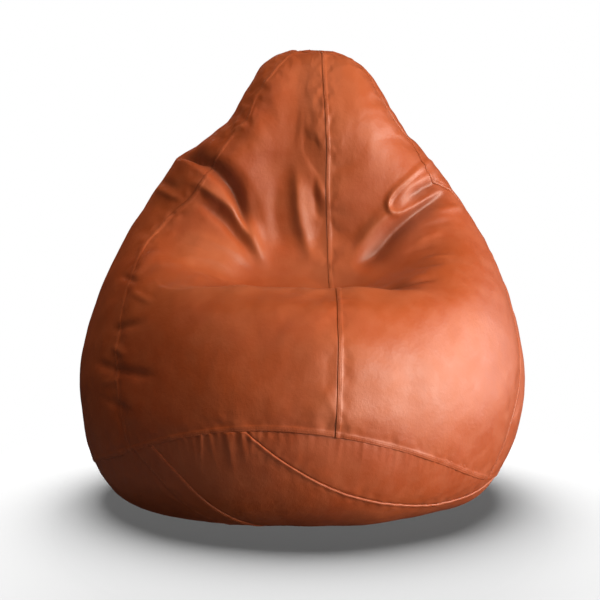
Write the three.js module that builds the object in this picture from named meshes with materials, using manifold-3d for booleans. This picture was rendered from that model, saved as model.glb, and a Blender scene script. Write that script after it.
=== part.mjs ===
// A teardrop bean bag chair: a faux leather cover of six gores and a strip base, a zipped liner and its bead fill.
// Millimetres, +Z up, the front faces -Y, and the origin is on the floor under the middle of the bag.
import * as THREE from 'three';
import { mergeVertices } from 'three/addons/utils/BufferGeometryUtils.js';
import Module from 'manifold-3d';

// ---- driving dimensions ----
const HEIGHT = 855;
const HALF_WIDTH = 428.5;
const FRONT_REACH = 447;
const BACK_REACH = 447;
const CROWN_LEAN = 22;          // the neck leans this far to the sitter's left
const LEAN_HEIGHT = 770;
const LEAN_SPAN = 130;

const COVER_THICKNESS = 1.2;
const LINER_THICKNESS = 0.6;
const GAP = 0.3;                // clearance between touching pieces
const LINER_DEPTH = COVER_THICKNESS + 0.4;
const FILL_DEPTH = LINER_DEPTH + LINER_THICKNESS + 0.4;

const GORES = 6;
const COLUMNS_PER_GORE = 6;
const COLUMNS = GORES * COLUMNS_PER_GORE;
const BASE_ROWS = 4;
const GORE_ROWS = 15;
const CROWN_STATION = 0.965;    // where the gores end and the crown patch begins

// The base's seams: the direction each one runs on the floor, in degrees from +X, its distance from the
// origin on the floor, and how far it moves back in for each millimetre that it climbs.
const ZIP_SEAM = { angle: 66, offset: 0, climb: 1.0 };
const LENS_SEAM = { angle: 49, offset: 425, climb: 1.02 };
const PLACKET_WIDTH = 46;
const PLACKET_FRONT = 430;      // how far the placket runs from the origin towards the front
const PLACKET_REAR = 235;

// Both zips lie along the base's middle seam. Each height is above the floor.
const CHAIN_LENGTH = 380;
const SLIDER_START = 180;
const SLIDER_LENGTH = 16;
const SLOT_HALF_WIDTH = 7;
const SLOT_HALF_LENGTH = 215;
const TAPE_HALF_LENGTH = 205;
const COVER_COIL_BOTTOM = 4.1;
const LINER_COIL_BOTTOM = 10.6;
const COIL_HEIGHT = 2.5;
const POCKET = { halfLength: 226, halfWidth: 24, height: 14.6 };

// ---- the bag's outline ----
// Sixteen stations run from the base's middle (t = 0) over the side to the crown (t = 1). Each pair is the
// distance from the middle and the height, as fractions of the reach on that side and of HEIGHT.
const SIDE = [[0, 0], [0.303, 0], [0.595, 0], [0.805, 0.014], [0.924, 0.076], [0.993, 0.211], [0.99, 0.322],
  [0.924, 0.45], [0.81, 0.579], [0.667, 0.692], [0.527, 0.781], [0.397, 0.844], [0.308, 0.906],
  [0.229, 0.964], [0.117, 0.995], [0, 1]];
const FRONT = [[0.034, 0], [-0.235, 0], [-0.503, 0], [-0.761, 0.021], [-0.928, 0.094], [-1, 0.222],
  [-0.973, 0.351], [-0.872, 0.468], [-0.716, 0.573], [-0.559, 0.678], [-0.414, 0.766], [-0.291, 0.836],
  [-0.179, 0.901], [-0.045, 0.959], [0.089, 0.992], [0.19, 1]];
const BACK = [[0.034, 0], [0.324, 0], [0.57, 0], [0.783, 0.016], [0.924, 0.094], [0.991, 0.222], [1, 0.351],
  [0.955, 0.48], [0.884, 0.608], [0.79, 0.719], [0.694, 0.807], [0.604, 0.871], [0.53, 0.924],
  [0.436, 0.968], [0.313, 0.994], [0.19, 1]];
// The front again along the middle of the seat, where a sitter has pressed the bag in.
const SEAT = [...FRONT.slice(0, 6), [-0.962, 0.374], [-0.828, 0.482], [-0.582, 0.501], [-0.302, 0.474],
  [-0.112, 0.556], [-0.067, 0.69], [-0.067, 0.801], [-0.007, 0.906], [0.092, 0.988], [0.19, 1]];
// How wide the seat's hollow is at each station, as a half angle in degrees.
const SEAT_SPREAD = [40, 40, 40, 40, 40, 40, 40, 50, 60, 60, 50, 42, 38, 34, 30, 30].map((angle) => [angle]);
const SEAT_EDGE = 2.4;          // higher is a sharper edge to the hollow
const FLAT_STATION = 2 / 15;    // the base is flat on the floor out to here

const radians = THREE.MathUtils.degToRad;

// A smooth curve through a profile's points, at t from 0 to 1.
function along(profile, t) {
  const last = profile.length - 1;
  const k = Math.min(Math.floor(t * last), last - 1);
  const s = t * last - k;
  const slope = (i, a) => {
    const low = Math.max(i - 1, 0);
    const high = Math.min(i + 1, last);
    return (profile[high][a] - profile[low][a]) / (high - low);
  };
  return profile[k].map((from, a) => {
    const to = profile[k + 1][a];
    return (2 * s ** 3 - 3 * s ** 2 + 1) * from + (s ** 3 - 2 * s ** 2 + s) * slope(k, a)
      + (-2 * s ** 3 + 3 * s ** 2) * to + (s ** 3 - s ** 2) * slope(k + 1, a);
  });
}

// The cover's outer face. The azimuth is in degrees, 0 at the front and positive towards +X.
function coverPoint(azimuth, t) {
  const [sideX, sideZ] = along(SIDE, t);
  const [frontY, frontZ] = along(FRONT, t);
  const [backY, backZ] = along(BACK, t);
  const [seatY, seatZ] = along(SEAT, t);
  const turned = THREE.MathUtils.euclideanModulo(azimuth + 180, 360) - 180;
  const pressed = Math.exp(-((Math.abs(turned) / along(SEAT_SPREAD, t)[0]) ** SEAT_EDGE));
  const forward = Math.max(Math.cos(radians(azimuth)), 0);
  const backward = Math.max(-Math.cos(radians(azimuth)), 0);
  const middle = (frontY + backY) / 2;
  const y = middle + (frontY - middle) * forward + (backY - middle) * backward + (seatY - frontY) * pressed;
  const z = sideZ * (1 - forward ** 2 - backward ** 2) + frontZ * forward ** 2 + backZ * backward ** 2
    + (seatZ - frontZ) * pressed;
  const height = Math.max(z, 0) * HEIGHT;
  const lean = CROWN_LEAN * Math.exp(-(((height - LEAN_HEIGHT) / LEAN_SPAN) ** 2));
  return new THREE.Vector3(sideX * HALF_WIDTH * Math.sin(radians(azimuth)) + lean,
    y * (y < 0 ? FRONT_REACH : BACK_REACH), height);
}

function outwardNormal(azimuth, t) {
  const step = 0.004;
  const t0 = THREE.MathUtils.clamp(t, step, 1 - step);
  const across = coverPoint(azimuth + 1, t0).sub(coverPoint(azimuth - 1, t0));
  const up = coverPoint(azimuth, t0 + step).sub(coverPoint(azimuth, t0 - step));
  return across.cross(up).normalize();
}

// ---- the sewing grid: COLUMNS lines of azimuth, and rows that follow the seam round the base ----
const bump = (t, centre, width) => Math.exp(-(((t - centre) / width) ** 2));
const SEAM_AZIMUTHS = [
  (t) => 8 + 6 * THREE.MathUtils.smoothstep(t, 0.45, 0.75),
  (t) => 66 + 13 * bump(t, 0.52, 0.16),
  () => 129,
  () => 189,
  () => 249,
  (t) => 309 - 12 * bump(t, 0.56, 0.14),
];

function columnAzimuth(column, t) {
  const wrapped = THREE.MathUtils.euclideanModulo(column, COLUMNS);
  const gore = Math.floor(wrapped / COLUMNS_PER_GORE);
  const from = SEAM_AZIMUTHS[gore](t);
  const next = SEAM_AZIMUTHS[(gore + 1) % GORES](t) + (gore === GORES - 1 ? 360 : 0);
  return from + (next - from) * (wrapped / COLUMNS_PER_GORE - gore);
}

// The seam between the base and the gores: high at the front, low everywhere else.
const RING_LOW = 0.25;
const RING_RISE = 0.094;
const RING_TURN = 8;
function ringStation(azimuth) {
  return RING_LOW + RING_RISE * ((1 + Math.cos(radians(azimuth + RING_TURN))) / 2) ** 3;
}

function baseStation(azimuth, row) {
  const flatRows = 2;
  if (row <= flatRows) return FLAT_STATION * row / flatRows;
  return FLAT_STATION + (ringStation(azimuth) - FLAT_STATION) * (row - flatRows) / BASE_ROWS;
}
const RING_ROW = 2 + BASE_ROWS;
const CROWN_ROW = RING_ROW + GORE_ROWS;
const LAST_ROW = CROWN_ROW + 1;

// A point on the grid, at a depth in from the cover's outer face.
function gridPoint(column, row, depth) {
  const first = columnAzimuth(column, 0.4);
  let t = 1;
  if (row <= RING_ROW) {
    t = baseStation(first, row);
  } else if (row <= CROWN_ROW) {
    t = ringStation(first) + (CROWN_STATION - ringStation(first)) * (row - RING_ROW) / GORE_ROWS;
  }
  const azimuth = columnAzimuth(column, t);
  const pole = row === 0 || row === LAST_ROW;
  const normal = pole ? new THREE.Vector3(0, 0, row === 0 ? -1 : 1) : outwardNormal(azimuth, t);
  if (row > 0 && row <= 2) normal.set(0, 0, -1);
  return coverPoint(azimuth, t).addScaledVector(normal, -depth);
}

// ---- building solids ----
const wasm = await Module();
wasm.setup();

function geometryOf(points, triangles) {
  const geometry = new THREE.BufferGeometry();
  geometry.setAttribute('position', new THREE.Float32BufferAttribute(points.flatMap((p) => p.toArray()), 3));
  geometry.setIndex(triangles);
  return geometry;
}

// A closed slab between two depths of the grid, from one row to another. It goes all the way round when
// it has every column, and it closes to a point at the grid's first and last rows.
function slab({ columnFrom = 0, columns = COLUMNS, rowFrom, rowTo, outer, inner }) {
  const round = columns === COLUMNS;
  const across = round ? columns : columns + 1;
  const rows = rowTo - rowFrom;
  const points = [];
  const index = new Map();
  const place = (i, j, depth) => {
    const column = round ? i % columns : i;
    const row = rowFrom + j;
    const key = row === 0 || row === LAST_ROW ? `${row}/${depth}` : `${column}/${row}/${depth}`;
    if (!index.has(key)) {
      index.set(key, points.length);
      points.push(insetPoint(columnFrom, columns, column, row, rowFrom, rowTo, depth));
    }
    return index.get(key);
  };
  const triangles = [];
  const quad = (a, b, c, d) => {
    if (a !== b && b !== c && a !== c) triangles.push(a, b, c);
    if (a !== c && c !== d && a !== d) triangles.push(a, c, d);
  };
  const depths = inner === undefined ? [outer] : [outer, inner];
  for (let i = 0; i < (round ? columns : across - 1); i += 1) {
    for (let j = 0; j < rows; j += 1) {
      const corners = (depth) => [place(i, j, depth), place(i + 1, j, depth), place(i + 1, j + 1, depth),
        place(i, j + 1, depth)];
      quad(...corners(outer));
      if (depths.length === 2) {
        const [a, b, c, d] = corners(inner);
        quad(a, d, c, b);
      }
    }
    if (depths.length === 2 && rowFrom > 0) {
      quad(place(i, 0, inner), place(i + 1, 0, inner), place(i + 1, 0, outer), place(i, 0, outer));
    }
    if (depths.length === 2 && rowTo < LAST_ROW) {
      quad(place(i, rows, outer), place(i + 1, rows, outer), place(i + 1, rows, inner), place(i, rows, inner));
    }
  }
  if (!round) {
    for (let j = 0; j < rows; j += 1) {
      quad(place(0, j, inner), place(0, j, outer), place(0, j + 1, outer), place(0, j + 1, inner));
      quad(place(columns, j, outer), place(columns, j, inner), place(columns, j + 1, inner),
        place(columns, j + 1, outer));
    }
  }
  return geometryOf(points, triangles);
}

// A grid point, moved half a gap in from the slab's own edges so that neighbouring pieces don't touch.
function insetPoint(columnFrom, columns, column, row, rowFrom, rowTo, depth) {
  const here = columnFrom + column;
  const point = gridPoint(here, row, depth);
  const towards = (other) => {
    const way = other.sub(point);
    point.addScaledVector(way.normalize(), GAP / 2);
  };
  if (columns < COLUMNS && column === 0) towards(gridPoint(here + 1, row, depth));
  if (columns < COLUMNS && column === columns) towards(gridPoint(here - 1, row, depth));
  if (row === rowFrom && rowFrom > 0) towards(gridPoint(here, row + 1, depth));
  if (row === rowTo && rowTo < LAST_ROW) towards(gridPoint(here, row - 1, depth));
  return point;
}

function solidOf(geometry) {
  const bare = geometry.clone();
  bare.deleteAttribute('normal');
  bare.deleteAttribute('uv');
  const merged = mergeVertices(bare);
  return new wasm.Manifold(new wasm.Mesh({
    numProp: 3,
    vertProperties: new Float32Array(merged.attributes.position.array),
    triVerts: new Uint32Array(merged.index.array),
  }));
}

function geometryFrom(solid) {
  const mesh = solid.getMesh();
  const geometry = new THREE.BufferGeometry();
  geometry.setAttribute('position', new THREE.BufferAttribute(mesh.vertProperties, 3));
  geometry.setIndex(new THREE.BufferAttribute(mesh.triVerts, 1));
  return geometry;
}

// A box from its lowest to its highest corner, as a geometry.
function box(x0, x1, y0, y1, z0, z1) {
  return new THREE.BoxGeometry(x1 - x0, y1 - y0, z1 - z0).translate((x0 + x1) / 2, (y0 + y1) / 2, (z0 + z1) / 2);
}

// The same box, turned to lie along the zip.
const zipBox = (...corners) => solidOf(box(...corners).rotateZ(radians(ZIP_SEAM.angle)));

// ---- materials ----
const material = (color, roughness, metalness = 0) => new THREE.MeshStandardMaterial({ color, roughness, metalness });
const LEATHER = material(0xc8623a, 0.42);
const LEATHER_FOLD = material(0xb4552f, 0.45);
const LINER_CLOTH = material(0xe8e4dc, 0.9);
const BEADS = material(0xf6f6f4, 0.8);
const TAPE = material(0x8f4526, 0.85);
const COIL = material(0x7d3b20, 0.5);
const METAL = material(0xb9a27a, 0.3, 1);
const LINER_TAPE = material(0xd9d5cc, 0.85);
const LINER_COIL = material(0xcfcbc2, 0.5);
const LINER_METAL = material(0xb4b6b8, 0.35, 1);

const chair = new THREE.Group();

function add(parent, name, geometry, look) {
  const mesh = new THREE.Mesh(geometry, look);
  mesh.name = name;
  parent.add(mesh);
  return mesh;
}

// ---- the cover's upper part ----
const GORE_NAMES = ['front_right', 'side_right', 'back_right', 'back_left', 'side_left', 'front_left'];
function makeGores() {
  GORE_NAMES.forEach((name, gore) => {
    const geometry = slab({
      columnFrom: gore * COLUMNS_PER_GORE,
      columns: COLUMNS_PER_GORE,
      rowFrom: RING_ROW,
      rowTo: CROWN_ROW,
      outer: 0,
      inner: COVER_THICKNESS,
    });
    add(chair, `gore_${name}`, geometry, LEATHER);
  });
}

function makeCrownPatch() {
  const geometry = slab({ rowFrom: CROWN_ROW, rowTo: LAST_ROW, outer: 0, inner: COVER_THICKNESS });
  add(chair, 'crown_patch', geometry, LEATHER);
}

// ---- the base ----
const FAR = 1500;
// Everything to the right of a base seam, past an extra distance measured square to the seam's own plane.
function beyond({ angle, offset, climb }, extra) {
  const lean = Math.atan(climb);
  const geometry = box(-FAR, FAR, -2 * FAR, 0, -FAR, FAR).rotateX(-lean);
  geometry.translate(0, -offset - extra / Math.cos(lean), 0);
  return solidOf(geometry.rotateZ(radians(angle)));
}

function makeBase() {
  const bowl = solidOf(slab({ rowFrom: 0, rowTo: RING_ROW, outer: 0, inner: COVER_THICKNESS }));
  const slot = zipBox(-SLOT_HALF_LENGTH, SLOT_HALF_LENGTH, -SLOT_HALF_WIDTH, SLOT_HALF_WIDTH, -5, 5);
  const open = bowl.subtract(slot);
  const half = GAP / 2;
  const right = open.intersect(beyond(ZIP_SEAM, half));
  const left = open.subtract(beyond(ZIP_SEAM, -half));
  const placketReach = zipBox(-PLACKET_FRONT, PLACKET_REAR, -FAR, FAR, -FAR, FAR);
  const besidePlacket = zipBox(-PLACKET_FRONT - GAP, PLACKET_REAR + GAP, -FAR, FAR, -FAR, FAR)
    .subtract(beyond(ZIP_SEAM, PLACKET_WIDTH + half));
  add(chair, 'base_lens_right', geometryFrom(right.intersect(beyond(LENS_SEAM, half))), LEATHER);
  add(chair, 'base_half_right', geometryFrom(right.subtract(beyond(LENS_SEAM, -half)).subtract(besidePlacket)),
    LEATHER);
  add(chair, 'zip_placket', geometryFrom(right.intersect(placketReach)
    .subtract(beyond(ZIP_SEAM, PLACKET_WIDTH - half))), LEATHER_FOLD);
  add(chair, 'base_half_left', geometryFrom(left), LEATHER);
}

// ---- the zips ----
const zips = new THREE.Group();
zips.rotation.z = radians(ZIP_SEAM.angle);

// A strip with the given outline in Y and Z, run along X.
function strip(outline, halfLength) {
  const shape = new THREE.Shape(outline.map(([y, z]) => new THREE.Vector2(y, z)));
  const geometry = new THREE.ExtrudeGeometry(shape, { depth: 2 * halfLength, bevelEnabled: false });
  // The shape's X is the zip's Y and the shape's Y is up, so the run is along X.
  geometry.applyMatrix4(new THREE.Matrix4().makeBasis(
    new THREE.Vector3(0, 1, 0), new THREE.Vector3(0, 0, 1), new THREE.Vector3(1, 0, 0)));
  return geometry.translate(-halfLength, 0, 0);
}

const mirrored = (outline, side) => (side > 0 ? outline : outline.map(([y, z]) => [-y, z]).reverse());

// The folded edge of the cover on each side of the slot, which the zip's tape is sewn to.
function makeFacings() {
  const fold = 0.8;
  const [y0, y1] = [SLOT_HALF_WIDTH, 16];
  const [z0, z1] = [COVER_THICKNESS + GAP, COVER_COIL_BOTTOM + COIL_HEIGHT];
  const outline = [[y0, z0], [y1, z0], [y1, z0 + fold], [y0 + fold, z0 + fold], [y0 + fold, z1 - fold],
    [y1, z1 - fold], [y1, z1], [y0, z1]];
  [[1, 'left'], [-1, 'right']].forEach(([side, name]) => {
    add(zips, `zip_facing_${name}`, strip(mirrored(outline, side), SLOT_HALF_LENGTH - 1), LEATHER_FOLD);
  });
}

// The parts of one zip: two tapes, two coils, two stops and a slider, which hangs below the tapes.
function makeZip(prefix, coilBottom, looks) {
  const rail = { inner: 0.8, outer: 3.2, chamfer: 0.7 };
  const coilTop = coilBottom + COIL_HEIGHT;
  const tapeBottom = coilTop + GAP;
  const tapeTop = tapeBottom + 0.5;
  const [a, b, c] = [rail.inner, rail.outer, rail.chamfer];
  const coilOutline = [[a, coilBottom], [b - c, coilBottom], [b, coilBottom + c], [b, coilTop - c],
    [b - c, coilTop], [a, coilTop]];
  const tapeOutline = [[2.4, tapeBottom], [18, tapeBottom], [18, tapeTop], [2.4, tapeTop]];
  [[1, 'left'], [-1, 'right']].forEach(([side, name]) => {
    add(zips, `${prefix}_tape_${name}`, strip(mirrored(tapeOutline, side), TAPE_HALF_LENGTH), looks.tape);
    add(zips, `${prefix}_coil_${name}`, strip(mirrored(coilOutline, side), CHAIN_LENGTH / 2), looks.coil);
  });
  const end = CHAIN_LENGTH / 2 + GAP;
  const stop = box(end, end + 3.2, -3.4, 3.4, coilBottom, coilTop);
  add(zips, `${prefix}_top_stop`, stop, looks.metal);
  add(zips, `${prefix}_bottom_stop`, stop.clone().translate(-2 * end - 3.2, 0, 0), looks.metal);

  const reach = SLIDER_LENGTH / 2;
  const plateBottom = coilBottom - 1.1;
  const plateTop = coilBottom - GAP;
  const plates = [
    box(-reach, reach, -5.2, 5.2, plateBottom, plateTop),
    box(-reach, reach, 3.5, 5.2, plateTop - 0.1, coilTop),
    box(-reach, reach, -5.2, -3.5, plateTop - 0.1, coilTop),
    box(reach - 5, reach - 1, -0.5, 0.5, plateTop - 0.1, tapeTop + GAP + 0.1),
    box(-reach, reach, -5.2, 5.2, tapeTop + GAP, tapeTop + GAP + 0.8),
  ];
  if (looks.bridge) {
    plates.push(box(-4.5, -3.3, -1.2, 1.2, plateBottom - 2.6, plateBottom + 0.1));
    plates.push(box(3.3, 4.5, -1.2, 1.2, plateBottom - 2.6, plateBottom + 0.1));
    plates.push(box(-4.5, 4.5, -1.2, 1.2, plateBottom - 2.6, plateBottom - 1.8));
  }
  const body = plates.map(solidOf).reduce((whole, plate) => whole.add(plate));
  add(zips, `${prefix}_slider`, geometryFrom(body), looks.metal).position.x = SLIDER_START;
}

// The pull hangs from the slider's bridge by its cross bar. It lies flat, towards the zip's open end.
const PULL_AXIS_HEIGHT = COVER_COIL_BOTTOM - 1.1 - 0.9;
function makePull() {
  const outline = new THREE.Shape();
  outline.moveTo(0.6, -3.2);
  outline.lineTo(0.6, 3.2);
  outline.lineTo(-8, 4);
  outline.lineTo(-26, 4);
  outline.absarc(-26, 0, 4, Math.PI / 2, Math.PI * 1.5, false);
  outline.lineTo(-8, -4);
  outline.closePath();
  const window = new THREE.Path();
  window.moveTo(-0.6, -1.7);
  window.lineTo(-6.5, -1.7);
  window.lineTo(-6.5, 1.7);
  window.lineTo(-0.6, 1.7);
  window.closePath();
  const eye = new THREE.Path();
  eye.absarc(-24, 0, 2, 0, Math.PI * 2, true);
  outline.holes.push(window, eye);
  const geometry = new THREE.ExtrudeGeometry(outline, { depth: 1.2, bevelEnabled: false, curveSegments: 8 });
  geometry.translate(0, 0, -0.6);
  add(zips, 'zip_pull', geometry, METAL).position.set(SLIDER_START, 0, PULL_AXIS_HEIGHT);
}

// ---- inside ----
// The liner is pressed up over the cover's zip in a long pocket, and its own zip closes a slot in the pocket.
function pocket(grow) {
  const { halfLength, halfWidth, height } = POCKET;
  return zipBox(-halfLength - grow, halfLength + grow, -halfWidth - grow, halfWidth + grow, -20, height + grow);
}

function insideSolid(depth, pocketGrow) {
  return solidOf(slab({ rowFrom: 0, rowTo: LAST_ROW, outer: depth })).subtract(pocket(pocketGrow));
}

function makeLiner() {
  const slot = zipBox(-TAPE_HALF_LENGTH + 8, TAPE_HALF_LENGTH - 8, -6, 6, -20, POCKET.height + 5);
  const skin = insideSolid(LINER_DEPTH, 0).subtract(insideSolid(LINER_DEPTH + LINER_THICKNESS, LINER_THICKNESS));
  add(chair, 'inner_liner', geometryFrom(skin.subtract(slot)), LINER_CLOTH);
}

function makeFill() {
  add(chair, 'bead_fill', geometryFrom(insideSolid(FILL_DEPTH, LINER_THICKNESS + 1.5)), BEADS);
}

makeGores();
makeCrownPatch();
makeBase();
makeFacings();
makeZip('zip', COVER_COIL_BOTTOM, { tape: TAPE, coil: COIL, metal: METAL, bridge: true });
makePull();
makeLiner();
makeZip('liner_zip', LINER_COIL_BOTTOM, { tape: LINER_TAPE, coil: LINER_COIL, metal: LINER_METAL, bridge: false });
makeFill();
chair.add(zips);

export default chair;
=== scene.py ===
"""A teardrop bean bag chair in orange faux leather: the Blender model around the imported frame.

Metres, +Z up, the front faces -Y. The cover's surface is the CAD's own surface, repeated here as a
function, with its folds, seams, gathers and fabric added on a fine sewing grid.
"""
from math import cos, pi, radians, sin

import bmesh
import bpy
import numpy as np
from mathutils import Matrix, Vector


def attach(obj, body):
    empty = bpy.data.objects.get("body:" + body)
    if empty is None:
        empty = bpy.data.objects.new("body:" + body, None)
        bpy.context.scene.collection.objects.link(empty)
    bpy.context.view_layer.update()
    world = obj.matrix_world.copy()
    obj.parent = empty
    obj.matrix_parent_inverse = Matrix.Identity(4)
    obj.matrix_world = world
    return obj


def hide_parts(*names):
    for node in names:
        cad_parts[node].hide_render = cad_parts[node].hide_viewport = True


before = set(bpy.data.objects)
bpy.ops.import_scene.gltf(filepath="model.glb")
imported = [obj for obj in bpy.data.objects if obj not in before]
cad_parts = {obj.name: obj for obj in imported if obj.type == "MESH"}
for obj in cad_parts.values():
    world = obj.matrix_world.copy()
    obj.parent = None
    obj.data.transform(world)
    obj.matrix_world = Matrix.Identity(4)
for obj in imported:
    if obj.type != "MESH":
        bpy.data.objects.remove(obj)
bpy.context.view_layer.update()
scene = bpy.context.scene
MM = .001

# ---- the CAD's surface
# A station runs from 0 at the middle of the underside to 1 at the top. The profiles give one point for each
# fifteenth of it: how far out, as a share of HALF_WIDTH or REACH, and how high, as a share of HEIGHT.
HEIGHT, HALF_WIDTH, REACH = .855, .4285, .447
CROWN_LEAN, LEAN_HEIGHT, LEAN_SPAN = .022, .77, .13
COVER = .0012               # the fabric's thickness
CROWN_STATION = .965        # where the gores end under the crown patch
FLAT_STATION = 2 / 15       # the edge of the flat underside
RING_STATION, RING_RISE = .25, .094
SEAT_EDGE = 2.4
SIDE = [(0, 0), (.303, 0), (.595, 0), (.805, .014), (.924, .076), (.993, .211), (.99, .322), (.924, .45),
    (.81, .579), (.667, .692), (.527, .781), (.397, .844), (.308, .906), (.229, .964), (.117, .995),
    (0, 1)]
FRONT = [(.034, 0), (-.235, 0), (-.503, 0), (-.761, .021), (-.928, .094), (-1, .222), (-.973, .351),
    (-.872, .468), (-.716, .573), (-.559, .678), (-.414, .766), (-.291, .836), (-.179, .901),
    (-.045, .959), (.089, .992), (.19, 1)]
BACK = [(.034, 0), (.324, 0), (.57, 0), (.783, .016), (.924, .094), (.991, .222), (1, .351), (.955, .48),
    (.884, .608), (.79, .719), (.694, .807), (.604, .871), (.53, .924), (.436, .968), (.313, .994),
    (.19, 1)]
SEAT = FRONT[:6] + [(-.962, .374), (-.828, .482), (-.582, .501), (-.302, .474), (-.112, .556), (-.067, .69),
    (-.067, .801), (-.007, .906), (.092, .988), (.19, 1)]
# how far the seat reaches round the bag at each station, in degrees
SEAT_SPREAD = [(40,)] * 7 + [(50,), (60,), (60,), (50,), (42,), (38,), (34,), (30,), (30,)]


def along(profile, t):
    """A smooth curve through a profile's points, at t from 0 to 1. Returns one row for each value."""
    p = np.asarray(profile, float)
    last = len(p) - 1
    slope = np.empty_like(p)
    slope[1:-1] = (p[2:] - p[:-2]) / 2
    slope[0], slope[-1] = p[1] - p[0], p[-1] - p[-2]
    k = np.clip(np.floor(t * last).astype(int), 0, last - 1)
    s = (t * last - k)[..., None]
    v = ((2 * s**3 - 3 * s**2 + 1) * p[k] + (s**3 - 2 * s**2 + s) * slope[k]
         + (-2 * s**3 + 3 * s**2) * p[k + 1] + (s**3 - s**2) * slope[k + 1])
    return np.moveaxis(v, -1, 0)


def cover_point(azimuth, t):
    """The cover's outer face before any fold. azimuth is in degrees, 0 at the front, positive towards +X."""
    side_x, side_z = along(SIDE, t)
    front_y, front_z = along(FRONT, t)
    back_y, back_z = along(BACK, t)
    seat_y, seat_z = along(SEAT, t)
    turned = (azimuth + 180) % 360 - 180
    pressed = np.exp(-((abs(turned) / along(SEAT_SPREAD, t)[0]) ** SEAT_EDGE))
    ahead = np.cos(np.radians(azimuth))
    forward, backward = np.maximum(ahead, 0), np.maximum(-ahead, 0)
    middle = (front_y + back_y) / 2
    y = middle + (front_y - middle) * forward + (back_y - middle) * backward + (seat_y - front_y) * pressed
    z = (side_z * (1 - forward**2 - backward**2) + front_z * forward**2 + back_z * backward**2
         + (seat_z - front_z) * pressed)
    z = np.maximum(z, 0) * HEIGHT
    lean = CROWN_LEAN * bump(z, LEAN_HEIGHT, LEAN_SPAN)
    return np.stack([side_x * HALF_WIDTH * np.sin(np.radians(azimuth)) + lean, y * REACH, z], -1)


def bump(x, centre, width):
    return np.exp(-(((x - centre) / width) ** 2))


def smoothstep(x, low, high):
    s = np.clip((x - low) / (high - low), 0, 1)
    return s * s * (3 - 2 * s)


# Where each gore's left seam runs: (station, azimuth) from the ring to the crown.
SEAM_TRACKS = [
    [(.25, 7.5), (.341, 7.5), (.443, 8.6), (.514, 9.5), (.615, 10.5), (.7, 13.2), (.782, 14.8), (.819, 12.6),
     (.839, 11.4), (.862, 11), (.877, 11.6), (.892, 14), (.906, 16.2), (.923, 21.8), (.965, 34), (1, 38)],
    [(.25, 61.5), (.34, 68), (.43, 79), (.5, 86), (.55, 89), (.585, 90), (.6, 88.5), (.61, 85.4),
     (.623, 79.4), (.64, 71.8), (.649, 69), (.658, 73), (.668, 79.5), (.692, 81.4), (.717, 80), (.736, 77.6),
     (.8, 72), (1, 66)],
    [(0, 129), (1, 129)],
    [(0, 189), (1, 189)],
    [(0, 249), (1, 249)],
    [(.25, 312), (.323, 311.5), (.448, 303), (.52, 298), (.544, 295.6), (.57, 293.2), (.61, 294.4),
     (.625, 297.6), (.637, 301.4), (.66, 303.4), (.675, 305), (.694, 302.6), (.706, 298), (.718, 295.5),
     (.731, 296.6), (.742, 300), (.753, 303), (.768, 302), (.791, 297.5), (.815, 299.8), (.848, 307),
     (.878, 310), (1, 309)],
]
SEAM_SMOOTHING = (-.014, -.007, 0, .007, .014)      # a seam is averaged over these stations beside each


def seam_azimuth(gore, t):
    turns, track = divmod(gore, len(SEAM_TRACKS))
    stations, values = np.array(SEAM_TRACKS[track]).T
    t = np.asarray(t, float)
    total = sum(np.interp(t + shift, stations, values) for shift in SEAM_SMOOTHING)
    return total / len(SEAM_SMOOTHING) + 360 * turns


def column_azimuth(gore, u, t):
    a, b = seam_azimuth(gore, t), seam_azimuth(gore + 1, t)
    return a + (b - a) * u


def ring_station(azimuth):
    """Where the ring seam runs: it is highest near the front."""
    return RING_STATION + RING_RISE * ((1 + np.cos(np.radians(azimuth + 8))) / 2) ** 3


# ---- broad shape, over the CAD's surface
# How far each flank stands out from the CAD's surface, in millimetres, at heights in metres.
FLANK_HEIGHTS = [0, .02, .05, .08, .12, .2, .38, .46, .5, .56, .6, .625, .645, .655, .668, .69, .712,
    .75, .8]
LEFT_FLANK = [0, 0, 1, 2, 1, 0, -3, -2, -1, 0, 4, 8, 12, 7, -5, -12, -10, -4, -2]
RIGHT_FLANK = [0, -8, -12, -9, -4, 0, 4, 7, 8, 9, 6, 2, -4, -6, -8, -9, -4, -1, 0]


def shape_point(azimuth, t):
    p = cover_point(azimuth, t)
    turn, ahead = np.sin(np.radians(azimuth)), np.cos(np.radians(azimuth))
    side = np.where(turn < 0, -np.interp(p[..., 2], FLANK_HEIGHTS, LEFT_FLANK),
                    np.interp(p[..., 2], FLANK_HEIGHTS, RIGHT_FLANK))
    p[..., 0] += MM * side * abs(turn) ** 1.5 * smoothstep(ahead, -.8, -.1)
    # the base is fuller on the left, where more of the filling lies
    front = np.clip(ahead, 0, 1) ** .5
    sag = bump(p[..., 0], -.27, .12) * bump(p[..., 2], .02, .045) * smoothstep(t, .1, .16) * front
    p[..., 2] = np.maximum(p[..., 2] - .008 * sag, 0)
    # the neck is fullest along its middle seam, and turns away to the right of it
    off = p[..., 0] - .045
    neck = np.exp(-(off / np.where(off > 0, .1, .06)) ** 2) * smoothstep(p[..., 2], .5, .6)
    p[..., 1] -= .013 * neck * (1 - smoothstep(p[..., 2], .74, .83)) * front
    return p


def unit(vectors):
    return vectors / np.maximum(np.linalg.norm(vectors, axis=-1, keepdims=True), 1e-12)


def run_of(points):
    """The length of a line of points up to each of them."""
    return np.concatenate([[0], np.cumsum(np.linalg.norm(np.diff(points, axis=0), axis=1))])


def shape_normal(azimuth, t):
    step = .003
    t0 = np.clip(t, step, 1 - step)
    across = shape_point(azimuth + .6, t0) - shape_point(azimuth - .6, t0)
    up = shape_point(azimuth, t0 + step) - shape_point(azimuth, t0 - step)
    return unit(np.cross(across, up))


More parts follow.
